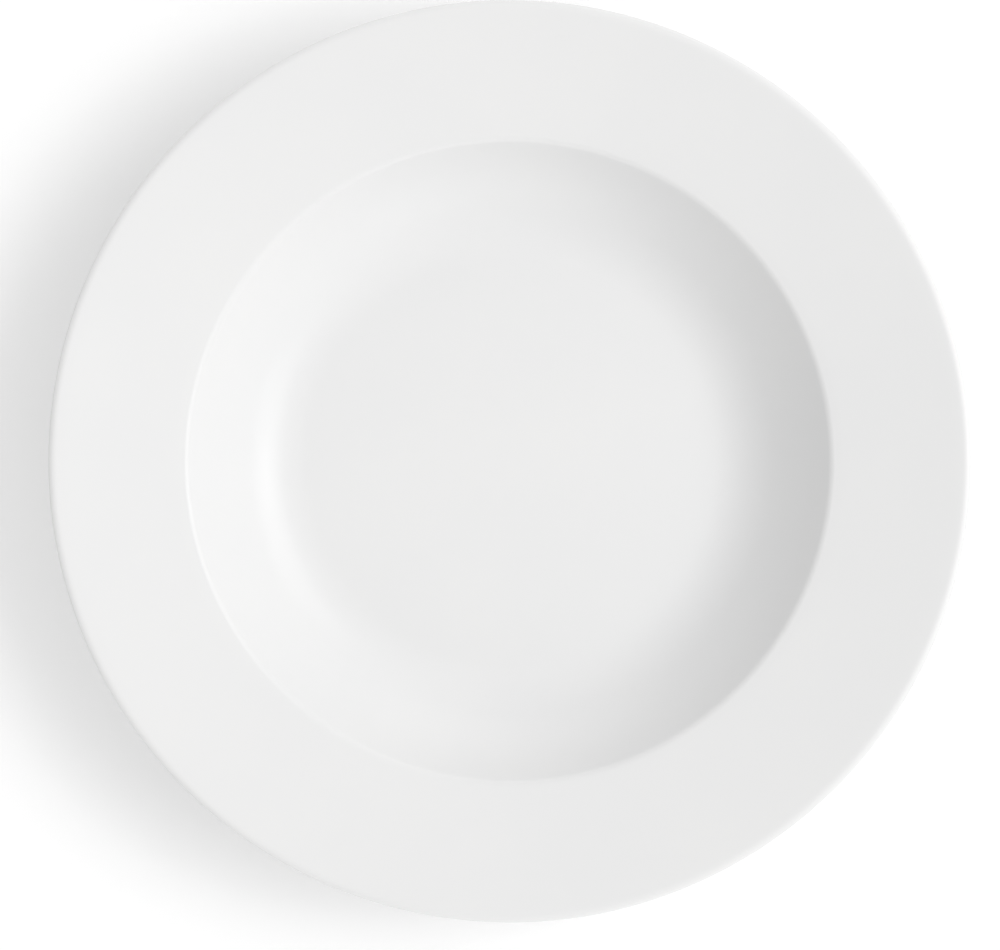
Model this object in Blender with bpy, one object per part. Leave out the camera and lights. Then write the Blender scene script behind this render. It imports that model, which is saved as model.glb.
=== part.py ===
# Deep porcelain plate with a wide rim, standing on its foot ring.
# Every piece is turned about the Z axis, and z = 0 is the surface that the plate stands on.

import math
from collections import namedtuple

import bmesh
import bpy

MM = 0.001
TURN_STEPS = 48  # facets round the axis
CHORD_ERROR = 0.06 * MM  # how far a facet may stand off the outline's curve
SHARP_ANGLE = math.radians(40)

# The finished face, over the glaze
PLATE_RADIUS = 110.0 * MM
WELL_RADIUS = 77.4 * MM  # middle of the rounded edge between wall and rim
EDGE_HALF_WIDTH = 0.9 * MM  # that edge's rounding, seen from above
WALL_FOOT_RADIUS = 64.0 * MM  # where the floor's sweep has become the wall
FLOOR_RADIUS = 50.0 * MM  # the flat floor of the well
WALL_FOOT_SLOPE = math.radians(36.5)
WALL_TOP_SLOPE = math.radians(55.0)
RIM_INNER_SLOPE = math.radians(12.4)
RIM_OUTER_SLOPE = math.radians(14.9)
LIP_REACH = 2.4 * MM  # over this width the rim rolls level before the lip
LIP_SLOPE = math.radians(8.5)
LIP_ROUNDING = 2.2 * MM  # the lip rolls over with this bend, down to its shoulder
LIP_SHOULDER_SLOPE = math.radians(34)
LIP_EDGE = 0.8 * MM  # and turns under with this one

# Wall sections, through glaze and clay
LIP_THICKNESS = 2.9 * MM
RIM_THICKNESS = 3.9 * MM
WALL_THICKNESS = 4.4 * MM
FLOOR_THICKNESS = 5.0 * MM
BACK_BEND_REACH = 5.0 * MM  # how far each side of the edge the bend at the back reaches

# Foot ring, in bare clay
FOOT_RADIUS = 58.0 * MM  # outer edge of the flat that it stands on
FOOT_FLAT = 2.2 * MM
FOOT_ROUNDING = 0.9 * MM
FOOT_DRAFT = math.radians(10)
FOOT_SHOULDER = 4.2 * MM
BASE_HEIGHT = 3.2 * MM  # underside of the clay inside the foot ring
BASE_FILLET = 1.8 * MM

# Glaze
GLAZE_THICKNESS = 0.3 * MM
GLAZE_GAP = 0.3 * MM  # clearance between the glaze and the clay
GLAZE_LINE = 1.5 * MM  # height on the foot ring where the glaze stops
SKIN = GLAZE_GAP + GLAZE_THICKNESS

# Headings along an outline, which runs from the axis over the face, round the lip and back underneath
OUTWARD = 0.0
DOWN = -math.pi / 2
INWARD = -math.pi
UP = -1.5 * math.pi

Station = namedtuple("Station", "radius height heading")


def raised(station, rise):
    """The station moved straight out of the surface."""
    return Station(
        station.radius - rise * math.sin(station.heading),
        station.height + rise * math.cos(station.heading),
        station.heading,
    )


def behind(station, thickness):
    """The station straight through the wall, with the outline coming back."""
    return raised(station, -thickness)._replace(heading=station.heading + INWARD)


def arc_to(start, radius, heading):
    """The station that one circular arc reaches at a radius, with a heading."""
    bend = (radius - start.radius) / (math.sin(heading) - math.sin(start.heading))
    rise = bend * (math.cos(start.heading) - math.cos(heading))
    return Station(radius, start.height + rise, heading)


def on_arc(start, end, radius):
    """The station at a radius on the circular arc from start to end."""
    share = (radius - start.radius) / (end.radius - start.radius)
    sine = math.sin(start.heading) + share * (math.sin(end.heading) - math.sin(start.heading))
    return arc_to(start, radius, math.asin(sine))


def on_rounding(radius, height, bend, heading):
    """The station at a heading on a rounding about a centre."""
    return raised(Station(radius, height, heading), bend)


def at_height(start, height):
    """The station at a height on the straight line through start."""
    run = (height - start.height) / math.tan(start.heading)
    return Station(start.radius + run, height, start.heading)


def curve(start, end):
    """Stations after start, up to end, on a smooth curve that keeps both headings."""
    turn = end.heading - start.heading
    chord = math.hypot(end.radius - start.radius, end.height - start.height)
    handle = chord / (3 * math.cos(turn / 4) ** 2)
    knots = (
        (start.radius, start.height),
        (start.radius + handle * math.cos(start.heading), start.height + handle * math.sin(start.heading)),
        (end.radius - handle * math.cos(end.heading), end.height - handle * math.sin(end.heading)),
        (end.radius, end.height),
    )
    steps = max(1, math.ceil(math.sqrt(chord * abs(turn) / (8 * CHORD_ERROR))))
    stations = []
    for step in range(1, steps):
        t = step / steps
        weights = ((1 - t) ** 3, 3 * t * (1 - t) ** 2, 3 * t**2 * (1 - t), t**3)
        rates = (-((1 - t) ** 2), (1 - t) * (1 - 3 * t), t * (2 - 3 * t), t**2)
        radius, height = (sum(w * knot[axis] for w, knot in zip(weights, knots)) for axis in (0, 1))
        across, up = (sum(rate * knot[axis] for rate, knot in zip(rates, knots)) for axis in (0, 1))
        stations.append(Station(radius, height, math.atan2(up, across)))
    return stations + [end]


def through(stations):
    """The outline through the stations."""
    outline = [stations[0]]
    for start, end in zip(stations, stations[1:]):
        outline += curve(start, end)
    return outline


def face_stations():
    """The finished face, from the axis to the back of the lip, and the back from there to the wall's foot."""
    floor_height = BASE_HEIGHT - SKIN + FLOOR_THICKNESS
    floor_edge = Station(FLOOR_RADIUS, floor_height, OUTWARD)
    wall_foot = arc_to(floor_edge, WALL_FOOT_RADIUS, WALL_FOOT_SLOPE)
    wall_top = arc_to(wall_foot, WELL_RADIUS - EDGE_HALF_WIDTH, WALL_TOP_SLOPE)
    rim_inner = arc_to(wall_top, WELL_RADIUS + EDGE_HALF_WIDTH, RIM_INNER_SLOPE)
    rim_outer = arc_to(rim_inner, PLATE_RADIUS - LIP_REACH, RIM_OUTER_SLOPE)
    shoulder_radius = PLATE_RADIUS - LIP_EDGE * (1 - math.sin(LIP_SHOULDER_SLOPE))
    roll = LIP_ROUNDING * (math.sin(LIP_SLOPE) + math.sin(LIP_SHOULDER_SLOPE))
    lip_top = arc_to(rim_outer, shoulder_radius - roll, LIP_SLOPE)
    lip_shoulder = arc_to(lip_top, shoulder_radius, -LIP_SHOULDER_SLOPE)
    lip_side = arc_to(lip_shoulder, PLATE_RADIUS, DOWN)
    back = [
        behind(rim_outer, LIP_THICKNESS),
        behind(on_arc(rim_inner, rim_outer, WELL_RADIUS + BACK_BEND_REACH), RIM_THICKNESS),
        behind(on_arc(wall_foot, wall_top, WELL_RADIUS - BACK_BEND_REACH), WALL_THICKNESS),
        behind(wall_foot, WALL_THICKNESS),
    ]
    axis = Station(0.0, floor_height, OUTWARD)
    lip = [lip_top, lip_shoulder, lip_side]
    return [axis, floor_edge, wall_foot, wall_top, rim_inner, rim_outer, *lip, *back]


def foot_stations():
    """The clay of the foot ring: its outer flank, its standing edge and its inner flank with the base."""
    inner_edge = FOOT_RADIUS - FOOT_FLAT
    outer_flank = on_rounding(FOOT_RADIUS, FOOT_ROUNDING, FOOT_ROUNDING, DOWN - FOOT_DRAFT)
    inner_flank = on_rounding(inner_edge, FOOT_ROUNDING, FOOT_ROUNDING, UP + FOOT_DRAFT)
    fillet_low = at_height(inner_flank, BASE_HEIGHT - BASE_FILLET * (1 - math.sin(FOOT_DRAFT)))
    fillet_centre = raised(fillet_low, BASE_FILLET)
    flank = [at_height(outer_flank, FOOT_SHOULDER), at_height(outer_flank, GLAZE_LINE)]
    standing = [
        flank[-1],
        outer_flank,
        Station(FOOT_RADIUS, 0.0, INWARD),
        Station(inner_edge, 0.0, INWARD),
        inner_flank,
        at_height(inner_flank, GLAZE_LINE),
    ]
    base = [
        standing[-1],
        fillet_low,
        Station(fillet_centre.radius, BASE_HEIGHT, INWARD),
        Station(0.0, BASE_HEIGHT, INWARD),
    ]
    return flank, standing, base


def turned(name, outline, material, parent):
    """A solid of revolution about Z from an outline that starts and ends on the axis."""
    shape = bmesh.new()
    points = [shape.verts.new((station.radius, 0.0, station.height)) for station in outline]
    edges = [shape.edges.new(pair) for pair in zip(points, points[1:])]
    bmesh.ops.spin(
        shape,
        geom=points + edges,
        cent=(0.0, 0.0, 0.0),
        axis=(0.0, 0.0, 1.0),
        angle=2 * math.pi,
        steps=TURN_STEPS,
        use_merge=True,
    )
    bmesh.ops.remove_doubles(shape, verts=shape.verts, dist=0.001 * MM)
    bmesh.ops.recalc_face_normals(shape, faces=shape.faces)
    mesh = bpy.data.meshes.new(name)
    shape.to_mesh(mesh)
    shape.free()
    mesh.shade_smooth()
    mesh.set_sharp_from_angle(angle=SHARP_ANGLE)
    mesh.materials.append(material)
    piece = bpy.data.objects.new(name, mesh)
    piece.parent = parent
    bpy.context.scene.collection.objects.link(piece)
    return piece


def finish(name, colour, roughness):
    """A plain non-metallic material."""
    material = bpy.data.materials.new(name)
    material.use_nodes = True
    shader = material.node_tree.nodes["Principled BSDF"]
    shader.inputs["Base Color"].default_value = (*colour, 1.0)
    shader.inputs["Roughness"].default_value = roughness
    shader.inputs["Metallic"].default_value = 0.0
    return material


def glaze_over(clay):
    """The closed outline of the glass over a stretch of clay: its outer side, then its inner side back."""
    outer = [raised(station, SKIN) for station in clay]
    inner = [raised(station, GLAZE_GAP) for station in clay]
    return outer + inner[::-1]


def build():
    for old in list(bpy.data.objects):
        bpy.data.objects.remove(old, do_unlink=True)
    plate = bpy.data.objects.new("plate", None)
    bpy.context.scene.collection.objects.link(plate)

    flank, standing, base = foot_stations()
    glazed_clay = through([raised(station, -SKIN) for station in face_stations()] + flank)
    bare_clay = through(standing)
    base_clay = through(base)

    clay_finish = finish("bare_porcelain", (0.80, 0.78, 0.74), 0.65)
    glaze_finish = finish("white_glaze", (0.86, 0.86, 0.86), 0.26)
    base_finish = finish("base_glaze", (0.86, 0.86, 0.86), 0.26)
    turned("porcelain_body", glazed_clay + bare_clay[1:] + base_clay[1:], clay_finish, plate)
    turned("glaze_coat", glaze_over(glazed_clay), glaze_finish, plate)
    turned("base_glaze", glaze_over(base_clay[::-1]), base_finish, plate)


build()
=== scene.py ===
# Deep porcelain plate: white glaze over fired clay, with the foot ring's standing edge left bare.
import math
from collections import namedtuple

import bmesh
import bpy
from mathutils import Matrix, Vector


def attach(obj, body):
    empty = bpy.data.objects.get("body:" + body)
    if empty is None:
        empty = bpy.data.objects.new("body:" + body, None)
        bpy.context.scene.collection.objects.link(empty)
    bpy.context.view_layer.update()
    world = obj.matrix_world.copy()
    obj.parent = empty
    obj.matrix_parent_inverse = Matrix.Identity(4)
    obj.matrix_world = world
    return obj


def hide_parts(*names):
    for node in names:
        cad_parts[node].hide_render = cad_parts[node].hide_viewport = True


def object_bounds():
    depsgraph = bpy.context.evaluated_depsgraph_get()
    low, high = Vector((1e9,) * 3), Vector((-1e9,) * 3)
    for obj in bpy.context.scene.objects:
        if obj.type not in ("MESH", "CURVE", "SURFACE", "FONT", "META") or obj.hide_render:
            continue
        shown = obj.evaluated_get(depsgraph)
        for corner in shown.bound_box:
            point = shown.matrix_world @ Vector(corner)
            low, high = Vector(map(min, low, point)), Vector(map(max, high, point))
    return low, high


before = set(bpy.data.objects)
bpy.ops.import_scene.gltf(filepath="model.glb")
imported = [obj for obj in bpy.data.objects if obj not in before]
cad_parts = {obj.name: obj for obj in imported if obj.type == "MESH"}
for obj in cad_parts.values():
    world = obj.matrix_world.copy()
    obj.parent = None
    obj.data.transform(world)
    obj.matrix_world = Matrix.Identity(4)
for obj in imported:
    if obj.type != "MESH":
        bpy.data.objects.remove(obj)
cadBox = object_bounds()
print("frame loaded with", len(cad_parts), "nodes")

mm = 0.001

# Outlines are drawn in millimetres, from the axis over the face, round the lip and back underneath.
# A station is a point of an outline with the heading there, in radians.
Station = namedtuple("Station", "radius height heading")
outward = 0.0
down = -math.pi / 2
inward = -math.pi
up = -1.5 * math.pi

facets = {
    "roundAxis": 256,
    "chordError": 0.004,  # how far a facet may stand off the outline's curve
    "longest": 3.0,  # longest facet along the outline
    "weld": 0.001,  # points nearer than this are joined
    "sharpAngle": 60.0,
}


def raised(station, rise):  # the station moved straight out of the surface
    return Station(
        station.radius - rise * math.sin(station.heading),
        station.height + rise * math.cos(station.heading),
        station.heading,
    )


def behind(station, thickness):  # straight through the wall, with the outline coming back
    return raised(station, -thickness)._replace(heading=station.heading + inward)


def arcTo(start, radius, heading):  # where one circular arc reaches a radius with a heading
    bend = (radius - start.radius) / (math.sin(heading) - math.sin(start.heading))
    rise = bend * (math.cos(start.heading) - math.cos(heading))
    return Station(radius, start.height + rise, heading)


def onArc(start, end, radius):  # the station at a radius on the arc from start to end
    share = (radius - start.radius) / (end.radius - start.radius)
    sine = math.sin(start.heading) + share * (math.sin(end.heading) - math.sin(start.heading))
    return arcTo(start, radius, math.asin(sine))


def onRounding(radius, height, bend, heading):  # the station at a heading on a rounding
    return raised(Station(radius, height, heading), bend)


def atHeight(start, height):  # the station at a height on the straight line through start
    run = (height - start.height) / math.tan(start.heading)
    return Station(start.radius + run, height, start.heading)


def curve(start, end):  # stations after start, up to end, on a smooth curve that keeps both headings
    turn = end.heading - start.heading
    chord = math.hypot(end.radius - start.radius, end.height - start.height)
    handle = chord / (3 * math.cos(turn / 4) ** 2)  # the length that gives a circular arc
    knots = (
        (start.radius, start.height),
        (start.radius + handle * math.cos(start.heading), start.height + handle * math.sin(start.heading)),
        (end.radius - handle * math.cos(end.heading), end.height - handle * math.sin(end.heading)),
        (end.radius, end.height),
    )
    bendSteps = math.sqrt(chord * abs(turn) / (8 * facets["chordError"]))
    steps = max(1, math.ceil(bendSteps), math.ceil(chord / facets["longest"]))
    stations = []
    for step in range(1, steps):
        t = step / steps
        weights = ((1 - t) ** 3, 3 * t * (1 - t) ** 2, 3 * t**2 * (1 - t), t**3)
        rates = (-((1 - t) ** 2), (1 - t) * (1 - 3 * t), t * (2 - 3 * t), t**2)
        radius, height = (sum(w * knot[axis] for w, knot in zip(weights, knots)) for axis in (0, 1))
        across, rise = (sum(rate * knot[axis] for rate, knot in zip(rates, knots)) for axis in (0, 1))
        stations.append(Station(radius, height, math.atan2(rise, across)))
    return stations + [end]


def through(stations):  # the outline through the stations
    outline = [stations[0]]
    for start, end in zip(stations, stations[1:]):
        outline += curve(start, end)
    return outline


# the finished face over the glaze, slopes in degrees
face = {
    "plateRadius": cadBox[1].x / mm,
    "wellRadius": 77.4,  # middle of the rounded edge between wall and rim
    "edgeHalfWidth": 0.9,
    "wallFootRadius": 64.0,
    "floorRadius": 50.0,
    "wallFootSlope": 36.5,
    "wallTopSlope": 55.0,
    "rimInnerSlope": 12.4,
    "rimOuterSlope": 14.9,
    "lipReach": 2.4,  # over this width the rim rolls level before the lip
    "lipSlope": 8.5,
    "lipRounding": 2.2,  # the lip rolls over with this bend, down to its shoulder
    "shoulderSlope": 34.0,
    "lipEdge": 0.3,  # and turns under with this one
}

# how thick the plate is behind the face, glaze and clay together
wall = {
    "lip": 2.9,
    "rim": 3.9,
    "side": 4.4,
    "floor": 5.0,
    "bendReach": 5.0,  # how far each side of the well's edge the bend at the back reaches
}

# the foot ring and the base inside it, in clay
foot = {
    "radius": 58.0,  # outer edge of the flat that it stands on
    "flat": 2.2,
    "rounding": 0.9,
    "draft": 10.0,
    "shoulder": 4.2,
    "baseHeight": 3.2,
    "baseFillet": 1.8,
}

# the glass melted over the clay
glaze = {
    "skin": 0.6,  # from the clay to the finished surface
    "contact": 0.06,  # how far the glass stands off the clay, so that the two meshes stay apart
    "line": 1.5,  # height on the foot ring where it stops
    "bead": 0.34,  # thickness of the rolled edge at the line
    "beadHeight": 0.42,
    "beadLean": 5.0,  # degrees that the glass leans in towards that edge
    "coatSway": ((0.10, 3, 40.0), (0.06, 7, 120.0), (0.03, 13, 0.0)),  # the line's wander, as waves
    "baseSway": ((0.05, 4, 10.0), (0.03, 9, 75.0)),
}

# how the kiln has pulled the rim out of true: waves of (height, lobes round the rim, turn in degrees)
kilnWarp = ((0.09, 2, 35.0), (0.04, 3, 80.0), (0.02, 5, 10.0))


# the finished face to the lip, then the back to the wall's foot
def faceStations(lipEdge):
    slope = {name: math.radians(value) for name, value in face.items() if name.endswith("Slope")}
    axis = Station(0.0, foot["baseHeight"] - glaze["skin"] + wall["floor"], outward)
    floorEdge = axis._replace(radius=face["floorRadius"])
    wallFoot = arcTo(floorEdge, face["wallFootRadius"], slope["wallFootSlope"])
    wallTop = arcTo(wallFoot, face["wellRadius"] - face["edgeHalfWidth"], slope["wallTopSlope"])
    rimInner = arcTo(wallTop, face["wellRadius"] + face["edgeHalfWidth"], slope["rimInnerSlope"])
    rimOuter = arcTo(rimInner, face["plateRadius"] - face["lipReach"], slope["rimOuterSlope"])
    shoulderRadius = face["plateRadius"] - lipEdge * (1 - math.sin(slope["shoulderSlope"]))
    roll = face["lipRounding"] * (math.sin(slope["lipSlope"]) + math.sin(slope["shoulderSlope"]))
    lipTop = arcTo(rimOuter, shoulderRadius - roll, slope["lipSlope"])
    lipShoulder = arcTo(lipTop, shoulderRadius, -slope["shoulderSlope"])
    lipSide = arcTo(lipShoulder, face["plateRadius"], down)
    back = [
        behind(rimOuter, wall["lip"]),
        behind(onArc(rimInner, rimOuter, face["wellRadius"] + wall["bendReach"]), wall["rim"]),
        behind(onArc(wallFoot, wallTop, face["wellRadius"] - wall["bendReach"]), wall["side"]),
        behind(wallFoot, wall["side"]),
    ]
    lip = [lipTop, lipShoulder, lipSide]
    return [axis, floorEdge, wallFoot, wallTop, rimInner, rimOuter, *lip, *back]


def footStations():  # the clay of the foot ring: outer flank, standing edge, inner flank with the base
    draft = math.radians(foot["draft"])
    innerEdge = foot["radius"] - foot["flat"]
    outerFlank = onRounding(foot["radius"], foot["rounding"], foot["rounding"], down - draft)
    innerFlank = onRounding(innerEdge, foot["rounding"], foot["rounding"], up + draft)
    filletLow = atHeight(innerFlank, foot["baseHeight"] - foot["baseFillet"] * (1 - math.sin(draft)))
    filletCentre = raised(filletLow, foot["baseFillet"])
    flank = [atHeight(outerFlank, foot["shoulder"]), atHeight(outerFlank, glaze["line"])]
    standing = [
        flank[-1],
        outerFlank,
        Station(foot["radius"], 0.0, inward),
        Station(innerEdge, 0.0, inward),
        innerFlank,
        atHeight(innerFlank, glaze["line"]),
    ]
    base = [
        standing[-1],
        filletLow,
        Station(filletCentre.radius, foot["baseHeight"], inward),
        Station(0.0, foot["baseHeight"], inward),
    ]
    return flank, standing, base


def onClay(stations):  # the glass side that lies on the clay
    return [raised(station, glaze["contact"]) for station in through(stations)]


# the coat's glass, from the axis over the face and down the back to a rolled edge on the foot ring,
# then back along the clay
def coatOutline(finished, clay, flank):
    shoulder, end = flank
    bead = Station(
        end.radius - glaze["beadHeight"] * math.cos(end.heading),
        end.height - glaze["beadHeight"] * math.sin(end.heading),
        end.heading,
    )
    beadTop = raised(bead, glaze["bead"])._replace(heading=end.heading - math.radians(glaze["beadLean"]))
    toe = raised(end, glaze["contact"])._replace(heading=end.heading - math.pi / 2)
    outer = through([*finished, raised(shoulder, glaze["skin"]), beadTop, toe])
    return outer + onClay(clay)[-2::-1]


# the base's glass, from the axis along the clay to its own rolled edge, then back over its underside
def baseOutline(base):
    start, filletLow, filletEnd, axis = base
    toe = raised(start, glaze["contact"])._replace(heading=start.heading + math.pi / 2)
    underside = [raised(station, glaze["skin"]) for station in (filletEnd, axis)]
    return onClay(base)[:0:-1] + through([toe, raised(filletLow, glaze["bead"]), *underside])


def waved(waves, angle):
    return sum(rise * math.cos(lobes * (angle - math.radians(turn))) for rise, lobes, turn in waves)


# a piece turned about the axis from an outline, with the kiln's warp;
# below swayHeight the glaze line pulls it up and down
def turned(name, outline, sway=(), swayHeight=0.0):
    shape = bmesh.new()
    points = [shape.verts.new((station.radius, 0.0, station.height)) for station in outline]
    edges = [shape.edges.new(pair) for pair in zip(points, points[1:])]
    bmesh.ops.spin(
        shape,
        geom=points + edges,
        cent=(0.0, 0.0, 0.0),
        axis=(0.0, 0.0, 1.0),
        angle=2 * math.pi,
        steps=facets["roundAxis"],
        use_merge=True,
    )
    bmesh.ops.remove_doubles(shape, verts=shape.verts, dist=facets["weld"])
    bmesh.ops.recalc_face_normals(shape, faces=shape.faces)
    for point in shape.verts:
        x, y, z = point.co
        angle = math.atan2(y, x)
        pull = max(0.0, swayHeight - z) / (swayHeight - glaze["line"]) if sway else 0.0
        reach = max(0.0, math.hypot(x, y) - foot["radius"]) / (face["plateRadius"] - foot["radius"])
        lift = waved(sway, angle) * pull**2 + waved(kilnWarp, angle) * reach**2
        point.co = Vector((x, y, z + lift)) * mm
    data = bpy.data.meshes.new(name)
    shape.to_mesh(data)
    shape.free()
    data.shade_smooth()
    data.set_sharp_from_angle(angle=math.radians(facets["sharpAngle"]))
    piece = bpy.data.objects.new(name, data)
    bpy.context.scene.collection.objects.link(piece)
    print("turned", name, "with", len(data.polygons), "faces")
    return piece


# an output of a node, so that shader maths reads as arithmetic
class Socket:
    def __init__(self, shader, node, output):
        self.shader = shader
        self.node = node
        self.output = output

    def also(self, output):  # another output of the same node
        return Socket(self.shader, self.node, output)

    def maths(self, operation, *terms):
        return self.shader.node("Math", {"operation": operation}, dict(enumerate(terms)))

    def __add__(self, other):
        return self.maths("ADD", self, other)

    def __radd__(self, other):
        return self.maths("ADD", other, self)

    def __sub__(self, other):
        return self.maths("SUBTRACT", self, other)

    def __rsub__(self, other):
        return self.maths("SUBTRACT", other, self)

    def __mul__(self, other):
        return self.maths("MULTIPLY", self, other)

    def __rmul__(self, other):
        return self.maths("MULTIPLY", other, self)

    def __truediv__(self, other):
        return self.maths("DIVIDE", self, other)

    def __rtruediv__(self, other):
        return self.maths("DIVIDE", other, self)

    def __pow__(self, other):
        return self.maths("POWER", self, other)

    def eased(self, low, high):  # 0 up to low, 1 from high, with a soft start and end
        sockets = {"Value": self, "From Min": low, "From Max": high}
        return self.shader.node("MapRange", {"interpolation_type": "SMOOTHSTEP"}, sockets)


class Shader:
    def __init__(self, owner):
        owner.use_nodes = True
        self.tree = owner.node_tree
        self.tree.nodes.clear()

    def node(self, kind, settings=None, sockets=None, output=0):
        made = self.tree.nodes.new("ShaderNode" + kind)
        for name, value in (settings or {}).items():
            setattr(made, name, value)
        for name, value in (sockets or {}).items():
            if isinstance(value, Socket):
                self.tree.links.new(value.node.outputs[value.output], made.inputs[name])
            else:
                made.inputs[name].default_value = value
        return Socket(self, made, output)

    def place(self):  # the point in millimetres, its three coordinates and its distance from the axis
        metres = self.node("TexCoord", output="Object")
        spot = self.node("VectorMath", {"operation": "SCALE"}, {0: metres, "Scale": 1 / mm})
        x = self.node("SeparateXYZ", sockets={0: spot})
        y = x.also("Y")
        return spot, x, y, x.also("Z"), (x * x + y * y) ** 0.5

    def noise(self, spot, size, detail):  # 0 to 1, with features about size across
        return self.node("TexNoise", sockets={"Vector": spot, "Scale": 1 / size, "Detail": detail})

    def blend(self, share, first, second):  # from one colour to another
        sockets = {0: share, 6: (*first, 1.0), 7: (*second, 1.0)}
        return self.node("Mix", {"data_type": "RGBA"}, sockets, output=2)

    def mixed(self, share, first, second):  # from one shader to another
        return self.node("MixShader", sockets={0: share, 1: first, 2: second})

    def inView(self):  # 1 on what the camera sees, straight, in a mirror or through glass
        ray = self.node("LightPath", output="Is Camera Ray")
        return ray.maths("MINIMUM", ray + ray.also("Is Glossy Ray") + ray.also("Is Transmission Ray"), 1.0)

    def surface(self, colour, roughness, height, ior):  # height in millimetres
        bump = self.node("Bump", sockets={"Height": height, "Distance": mm})
        sockets = {"Base Color": colour, "Roughness": roughness, "IOR": ior, "Normal": bump}
        self.node("OutputMaterial", sockets={"Surface": self.node("BsdfPrincipled", sockets=sockets)})


noiseMean = 0.5  # a noise runs from 0 to 1

whiteGlaze = {
    "thin": (0.864, 0.863, 0.860),  # where the clay shows through most
    "thick": (0.846, 0.847, 0.848),
    "cloudSize": 34.0,
    "cloudDetail": 3.0,
    "cloudRange": (0.3, 0.7),  # of the noise, from thin to thick glass
    "cloudShare": 0.55,  # the clouds' part in the thickness, and the pool has the rest
    "poolRadius": 58.0,  # the glass gathers in the sweep at the wall's foot
    "poolWidth": 9.0,
    "roughness": 0.26,  # a satin gloss
    "roughnessSpread": 0.02,
    "patchesPerCloud": 3,  # patches of more and less gloss
    "patchDetail": 4.0,
    "rippleSize": 4.5,  # the faint orange peel of melted glass
    "rippleDetail": 1.0,
    "rippleDepth": 0.004,
    "pinholeSpacing": 9.0,
    "pinholeSize": 0.16,
    "pinholeDepth": 0.03,
    "ringSpacing": 1.7,  # turning marks in the base that show through the glass
    "ringDepth": 0.012,
    "ior": 1.34,
}


def glazeMaterial(name, rings=False):
    material = bpy.data.materials.new(name)
    shader = Shader(material)
    spot, *_, radius = shader.place()
    clouds = shader.noise(spot, whiteGlaze["cloudSize"], whiteGlaze["cloudDetail"])
    offPool = (radius - whiteGlaze["poolRadius"]) / whiteGlaze["poolWidth"]
    pool = 1 / (1 + offPool * offPool)
    cloudShare = whiteGlaze["cloudShare"]
    thickness = cloudShare * clouds.eased(*whiteGlaze["cloudRange"]) + (1 - cloudShare) * pool
    colour = shader.blend(thickness, whiteGlaze["thin"], whiteGlaze["thick"])
    patchSize = whiteGlaze["cloudSize"] / whiteGlaze["patchesPerCloud"]
    patches = shader.noise(spot, patchSize, whiteGlaze["patchDetail"])
    roughness = whiteGlaze["roughness"] + whiteGlaze["roughnessSpread"] * (patches - noiseMean)

    ripple = shader.noise(spot, whiteGlaze["rippleSize"], whiteGlaze["rippleDetail"])
    cell = shader.node("TexVoronoi", sockets={"Vector": spot, "Scale": 1 / whiteGlaze["pinholeSpacing"]})
    pinhole = 1 - (cell * whiteGlaze["pinholeSpacing"]).eased(0.0, whiteGlaze["pinholeSize"])
    height = whiteGlaze["rippleDepth"] * ripple - whiteGlaze["pinholeDepth"] * pinhole
    if rings:
        turns = radius * (2 * math.pi / whiteGlaze["ringSpacing"])
        height = height + whiteGlaze["ringDepth"] * patches * turns.maths("SINE", turns)
    shader.surface(colour, roughness, height, whiteGlaze["ior"])
    return material


bareClay = {
    "pale": (0.80, 0.78, 0.74),
    "dark": (0.69, 0.665, 0.62),
    "grainSize": 0.5,
    "grainDetail": 3.0,
    "grainDepth": 0.02,
    "grainRange": (0.35, 0.75),  # of the noise, from pale to dark grain
    "grainShare": 0.4,  # the grain's part in the darkening, and the rubbed edge has the rest
    "markSpacing": 0.3,  # grinding marks that run round the foot ring
    "markLength": 12.0,
    "markDetail": 2.0,
    "markDepth": 0.012,
    "stainSize": 9.0,
    "stainDetail": 3.0,
    "stainRange": (0.35, 0.7),  # of the noise, from clean to stained
    "stainHeight": 0.5,  # the standing edge is rubbed darker up to here
    "roughness": 0.66,
    "roughnessSpread": 0.2,
    "polish": 0.1,  # how much smoother the rubbed edge is
    "ior": 1.45,
}


def clayMaterial(name):
    material = bpy.data.materials.new(name)
    shader = Shader(material)
    spot, x, y, z, radius = shader.place()
    grain = shader.noise(spot, bareClay["grainSize"], bareClay["grainDetail"])
    turns = foot["radius"] / bareClay["markLength"]
    sockets = {0: radius / bareClay["markSpacing"], 1: turns * x / radius, 2: turns * y / radius}
    alongMarks = shader.node("CombineXYZ", sockets=sockets)  # in marks' widths and lengths
    marks = shader.noise(alongMarks, 1.0, bareClay["markDetail"])
    stain = shader.noise(spot, bareClay["stainSize"], bareClay["stainDetail"])
    rubbed = (1 - z.eased(0.0, bareClay["stainHeight"])) * stain.eased(*bareClay["stainRange"])
    grainShare = bareClay["grainShare"]
    darkness = grainShare * grain.eased(*bareClay["grainRange"]) + (1 - grainShare) * rubbed * marks
    colour = shader.blend(darkness, bareClay["pale"], bareClay["dark"])
    unevenness = bareClay["roughnessSpread"] * (grain - noiseMean)
    roughness = bareClay["roughness"] + unevenness - bareClay["polish"] * rubbed
    height = bareClay["grainDepth"] * grain + bareClay["markDepth"] * marks
    shader.surface(colour, roughness, height, bareClay["ior"])
    return material


def fitted(piece, node, material):  # a piece in place of its CAD solid
    piece.data.materials.append(material)
    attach(piece, "root")
    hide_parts(node)


finished = faceStations(face["lipEdge"])
flank, standing, base = footStations()
clayFace = faceStations(glaze["skin"])  # under the glass the lip has a sharp edge
glazedClay = [raised(station, -glaze["skin"]) for station in clayFace] + flank
clayOutline = through(glazedClay) + through(standing)[1:] + through(base)[1:]

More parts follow.
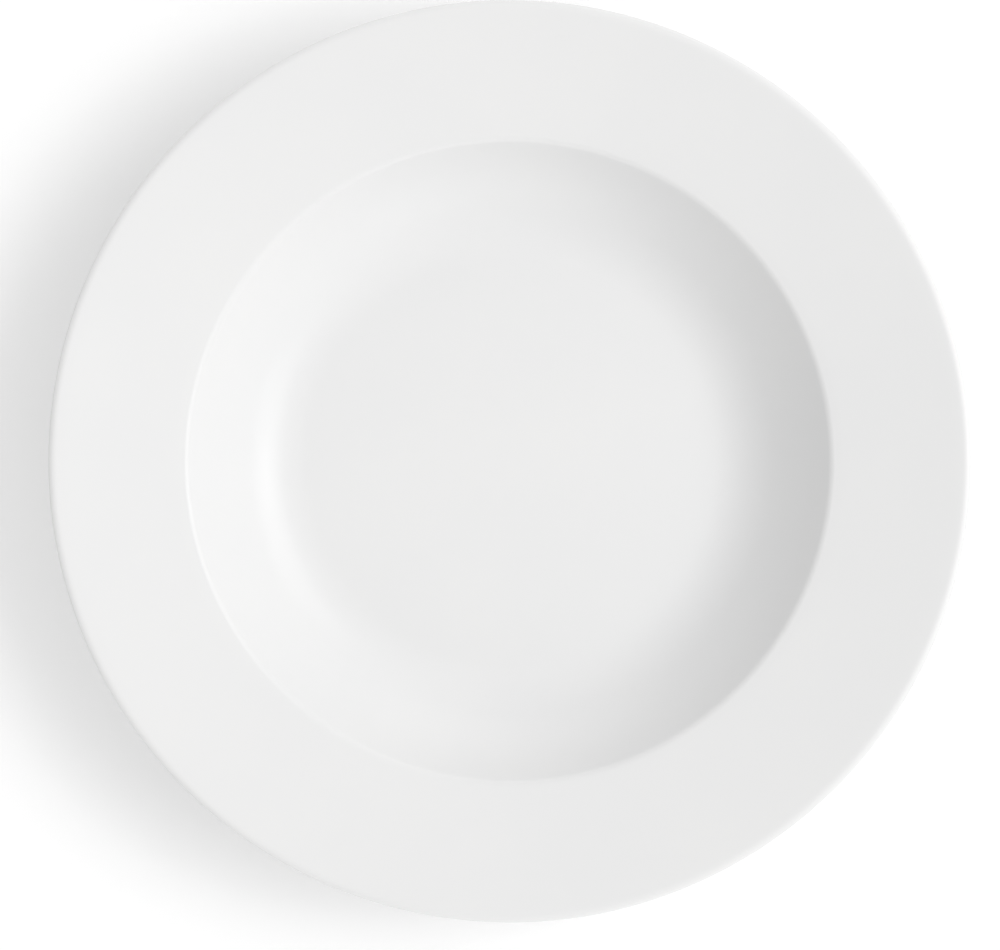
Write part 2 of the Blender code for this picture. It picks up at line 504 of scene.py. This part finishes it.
clayBody = turned("clay_body", clayOutline)
fitted(clayBody, "porcelain_body", clayMaterial("bareClay"))
coat = turned("coat_glaze", coatOutline(finished, glazedClay, flank), glaze["coatSway"], foot["shoulder"])
fitted(coat, "glaze_coat", glazeMaterial("coatGlaze"))
underside = foot["baseHeight"] - glaze["skin"]
baseCoat = turned("foot_glaze", baseOutline(base), glaze["baseSway"], underside)
fitted(baseCoat, "base_glaze", glazeMaterial("footGlaze", rings=True))

table = {
    "size": 6.0,  # metres
    "colour": 0.9,
    "glow": 0.186,  # lifts the lit table to white in the picture, and leaves the shadow on it
}


def makeTable():
    half = table["size"] / 2
    data = bpy.data.meshes.new("table")
    corners = [(-half, -half, 0), (half, -half, 0), (half, half, 0), (-half, half, 0)]
    data.from_pydata(corners, [], [range(len(corners))])
    top = bpy.data.objects.new("table", data)
    bpy.context.scene.collection.objects.link(top)
    material = bpy.data.materials.new("tablePaper")
    shader = Shader(material)
    matt = shader.node("BsdfDiffuse", sockets={"Color": (table["colour"],) * 3 + (1.0,)})
    glow = shader.node("Emission", sockets={"Strength": table["glow"]})
    lifted = shader.node("AddShader", sockets={0: matt, 1: glow})
    shader.node("OutputMaterial", sockets={"Surface": shader.mixed(shader.inView(), matt, lifted)})
    data.materials.append(material)
    print("table laid")


softbox = {
    "azimuth": 5.4,  # degrees from +X, the picture's right
    "elevation": 45.9,
    "distance": 1.9,  # metres, as its width and height are
    "width": 1.78,
    "height": 1.08,
    "watts": 13.15,
}

# the brighter middle of the softbox, in front of its cloth
softboxHeart = {
    "azimuth": 5.0,
    "elevation": 49.0,
    "distance": 1.6,
    "width": 0.53,
    "height": 0.8,
    "watts": 2.0,
}

# the lamp itself, which shows through the cloth
softboxBulb = {
    "azimuth": 0.5,
    "elevation": 47.0,
    "distance": 1.5,
    "width": 0.12,
    "height": 0.12,
    "watts": 0.5,
}

# a low white card on each side, which the walls of the well face
sideCard = {
    "azimuths": (90.0, 270.0),
    "elevation": 15.0,
    "distance": 1.0,
    "width": 1.0,
    "height": 0.5,
    "watts": 1.35,
}

# the room's own light, a little brighter from one side, and its pale ceiling over the softbox
room = {
    "dim": 0.495,
    "bright": 0.79,
    "azimuth": 221.0,
    "elevation": 19.0,
    "ceiling": 1.23,
    "ceilingAzimuth": 0.0,
    "ceilingElevation": 60.0,
    "ceilingFocus": 7.5,  # a larger value draws the pale part together
    "backdrop": 1.0,  # white behind the table
}


def pointing(azimuth, elevation):
    turn, rise = math.radians(azimuth), math.radians(elevation)
    return Vector((math.cos(rise) * math.cos(turn), math.cos(rise) * math.sin(turn), math.sin(rise)))


def hang(name, lamp, azimuth):
    data = bpy.data.lights.new(name, "AREA")
    data.shape = "RECTANGLE"
    data.size = lamp["width"]
    data.size_y = lamp["height"]
    data.energy = lamp["watts"]
    lampObject = bpy.data.objects.new(name, data)
    towards = pointing(azimuth, lamp["elevation"])
    lampObject.location = towards * lamp["distance"]
    lampObject.rotation_euler = towards.to_track_quat("Z", "Y").to_euler()
    bpy.context.scene.collection.objects.link(lampObject)


def lightRoom():
    world = bpy.data.worlds.new("room")
    bpy.context.scene.world = world
    shader = Shader(world)
    direction = shader.node("TexCoord", output="Generated")

    def facing(side):  # 1 towards that side of the room, -1 away from it
        sockets = {0: direction, 1: side}
        return shader.node("VectorMath", {"operation": "DOT_PRODUCT"}, sockets, "Value")

    def glow(part):
        return shader.node("Background", sockets={"Strength": room[part]})

    brightSide = (1 + facing(pointing(room["azimuth"], room["elevation"]))) / 2
    ceiling = pointing(room["ceilingAzimuth"], room["ceilingElevation"])
    offCeiling = room["ceilingFocus"] * (facing(ceiling) - 1)
    walls = shader.mixed(brightSide, glow("dim"), glow("bright"))
    light = shader.mixed(offCeiling.maths("EXPONENT", offCeiling), walls, glow("ceiling"))
    seen = shader.mixed(shader.inView(), light, glow("backdrop"))
    shader.node("OutputWorld", sockets={"Surface": seen})
    print("room lit")


# almost straight above the plate, with the top of the picture towards +Y
camera = {
    "tiltRight": 1.88,  # degrees off the axis
    "tiltUp": 1.80,
    "distance": 0.933,  # metres from the aim
    "aim": (-1.78, -2.77, 36.0),  # millimetres
    "pixel": 0.2376,  # millimetres of the aim's plane in one pixel
    "pictureWidth": 1000,
    "sensor": 36.0,
}


def setCamera():
    data = bpy.data.cameras.new("camera")
    data.sensor_width = camera["sensor"]
    data.lens = camera["sensor"] * camera["distance"] / (camera["pictureWidth"] * camera["pixel"] * mm)
    seat = bpy.data.objects.new("camera", data)
    tilts = (math.tan(math.radians(camera[side])) for side in ("tiltRight", "tiltUp"))
    back = Vector((*tilts, 1.0)).normalized()
    pictureUp = (Vector((0.0, 1.0, 0.0)) - back * back.y).normalized()
    turn = Matrix((pictureUp.cross(back), pictureUp, back)).transposed()
    spot = Vector(camera["aim"]) * mm + back * camera["distance"]
    seat.matrix_world = Matrix.Translation(spot) @ turn.to_4x4()
    bpy.context.scene.collection.objects.link(seat)
    bpy.context.scene.camera = seat
    print("camera set")


makeTable()
for name, lamp in (("softbox", softbox), ("softboxHeart", softboxHeart), ("softboxBulb", softboxBulb)):
    hang(name, lamp, lamp["azimuth"])
for azimuth in sideCard["azimuths"]:
    hang("sideCard", sideCard, azimuth)
lightRoom()
setCamera()
bpy.context.scene.view_settings.view_transform = "Standard"
